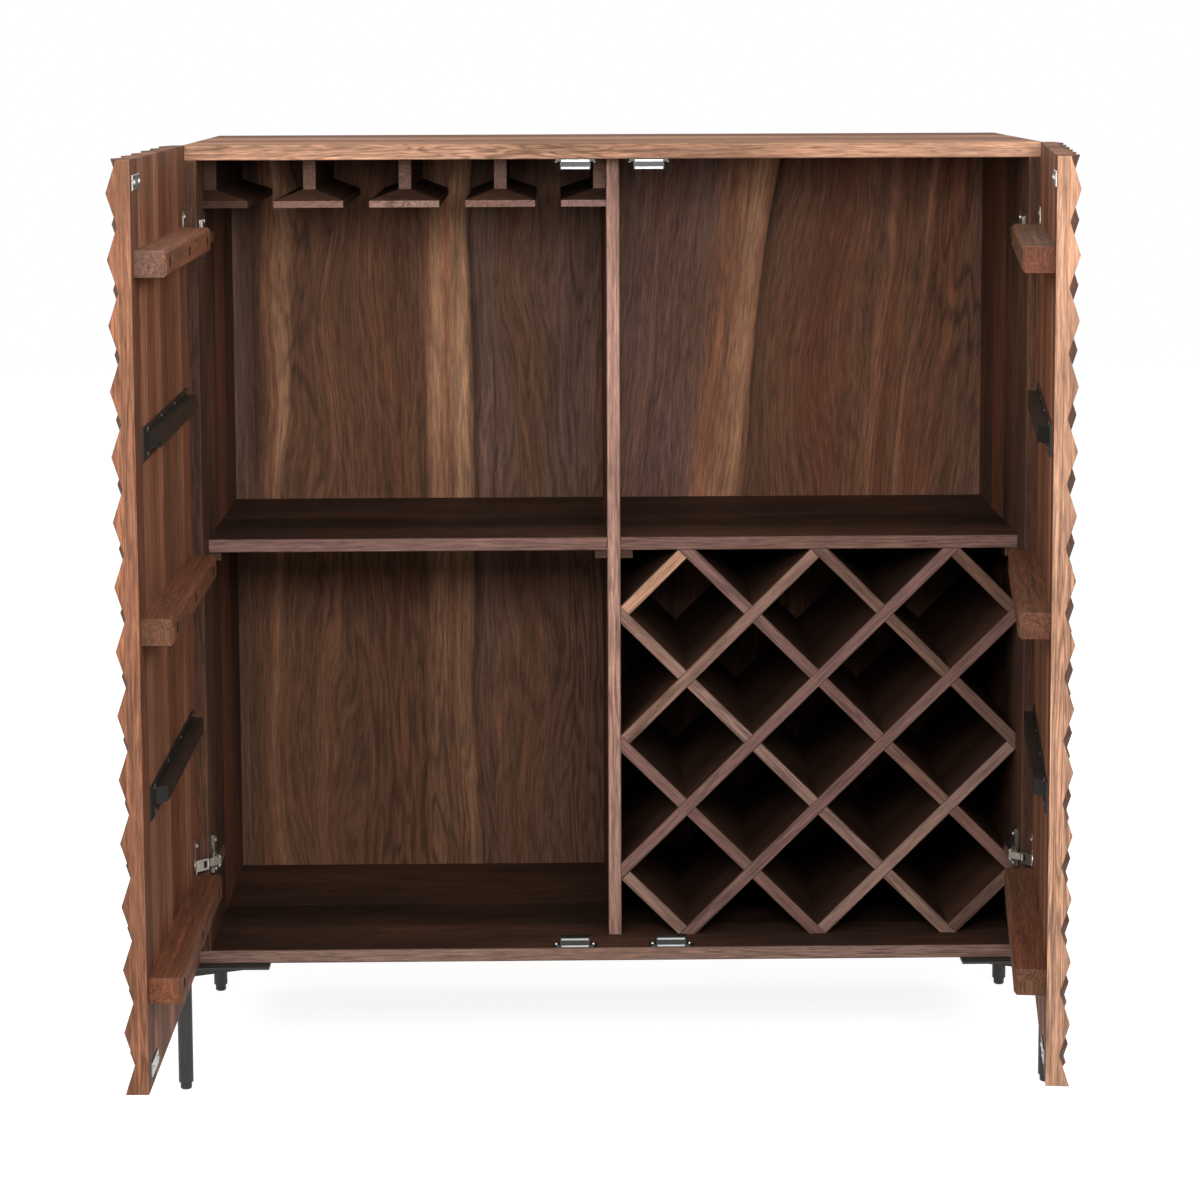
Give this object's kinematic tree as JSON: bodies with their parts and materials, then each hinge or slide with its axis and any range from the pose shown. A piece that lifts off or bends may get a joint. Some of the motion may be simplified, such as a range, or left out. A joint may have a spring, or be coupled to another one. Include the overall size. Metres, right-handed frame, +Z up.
{
  "type": "bar armoire",
  "caption": "Wooden bar cabinet on black steel legs with carved swing doors, a stemware rack, open shelves and a diagonal wine rack.",
  "frame": {"origin": "on the floor, under the middle of the box around the armoire with its doors open as pictured", "axes": "+X to the right seen from the front, +Y from the open doors towards the back, +Z up"},
  "size_m": [1.069, 0.9384, 1.143],
  "materials": {
    "carcass_wood": "oiled sheesham, walnut stain, satin",
    "door_wood": "oiled sheesham, carved facets, satin",
    "back_wood": "veneered panel, walnut stain, satin",
    "slat_wood": "oiled sheesham slats, satin",
    "rail_wood": "oiled sheesham rails, satin",
    "batten_wood": "oiled sheesham battens, satin",
    "black_steel": "black powder coat, fine texture",
    "straightener_steel": "black paint, semi gloss",
    "nickel_steel": "nickel plated pressed steel",
    "zinc_steel": "zinc plated steel",
    "catch_plastic": "moulded black plastic",
    "black_plastic": "moulded black plastic"
  },
  "bodies": {
    "cabinet": {"back_left_leg": "black_steel", "back_right_leg": "black_steel", "bottom_panel": "carcass_wood", "catch_cases": "catch_plastic", "catch_pole_plates": "zinc_steel", "centre_divider": "carcass_wood", "front_left_leg": "black_steel", "front_right_leg": "black_steel", "hinge_arms": "nickel_steel", "hinge_pins": "nickel_steel", "hinge_plates": "nickel_steel", "left_back_panel": "back_wood", "left_shelf": "carcass_wood", "left_side_panel": "carcass_wood", "leg_glides": "black_plastic", "rack_falling_slat_1": "slat_wood", "rack_falling_slat_2": "slat_wood", "rack_falling_slat_3": "slat_wood", "rack_falling_slat_4": "slat_wood", "rack_falling_slat_5": "slat_wood", "rack_falling_slat_6": "slat_wood", "rack_rising_slat_1": "slat_wood", "rack_rising_slat_2": "slat_wood", "rack_rising_slat_3": "slat_wood", "rack_rising_slat_4": "slat_wood", "rack_rising_slat_5": "slat_wood", "rack_rising_slat_6": "slat_wood", "right_back_panel": "back_wood", "right_shelf": "carcass_wood", "right_side_panel": "carcass_wood", "shelf_cleats": "batten_wood", "stemware_flange_1": "rail_wood", "stemware_flange_2": "rail_wood", "stemware_flange_3": "rail_wood", "stemware_flange_4": "rail_wood", "stemware_flange_5": "rail_wood", "stemware_web_1": "rail_wood", "stemware_web_2": "rail_wood", "stemware_web_3": "rail_wood", "stemware_web_4": "rail_wood", "stemware_web_5": "rail_wood", "top_panel": "carcass_wood"},
    "left_door": {"left_door": "door_wood", "left_door_batten_1": "batten_wood", "left_door_batten_2": "batten_wood", "left_door_batten_3": "batten_wood", "left_door_straightener_1": "straightener_steel", "left_door_straightener_2": "straightener_steel", "left_hinge_cups": "nickel_steel", "left_strike_plates": "zinc_steel"},
    "right_door": {"right_door": "door_wood", "right_door_batten_1": "batten_wood", "right_door_batten_2": "batten_wood", "right_door_batten_3": "batten_wood", "right_door_straightener_1": "straightener_steel", "right_door_straightener_2": "straightener_steel", "right_hinge_cups": "nickel_steel", "right_strike_plates": "zinc_steel"},
    "left_hinge_link": {"left_hinge_links": "nickel_steel"},
    "right_hinge_link": {"right_hinge_links": "nickel_steel"}
  },
  "joints": [
    {"name": "left_door_hinge", "type": "hinge", "parent": "cabinet", "child": "left_door", "pos_m": [-0.5065, 0.03575, 0.649], "axis": [0, 0, -1], "range_deg": [-90, 15]},
    {"name": "left_hinge_link_pivot", "type": "hinge", "parent": "cabinet", "child": "left_hinge_link", "pos_m": [-0.4935, 0.03125, 0.649], "axis": [0, 0, -1], "range_deg": [-129.25, 22.38]},
    {"name": "right_door_hinge", "type": "hinge", "parent": "cabinet", "child": "right_door", "pos_m": [0.5065, 0.03575, 0.649], "axis": [0, 0, 1], "range_deg": [-83.5, 21.5]},
    {"name": "right_hinge_link_pivot", "type": "hinge", "parent": "cabinet", "child": "right_hinge_link", "pos_m": [0.4935, 0.03125, 0.649], "axis": [0, 0, 1], "range_deg": [-119.99, 31.64]}
  ],
  "couplings": [
    {"joint": "left_hinge_link_pivot", "follows": "left_door_hinge", "ratio": 1.425},
    {"joint": "right_hinge_link_pivot", "follows": "right_door_hinge", "ratio": 1.425}
  ]
}
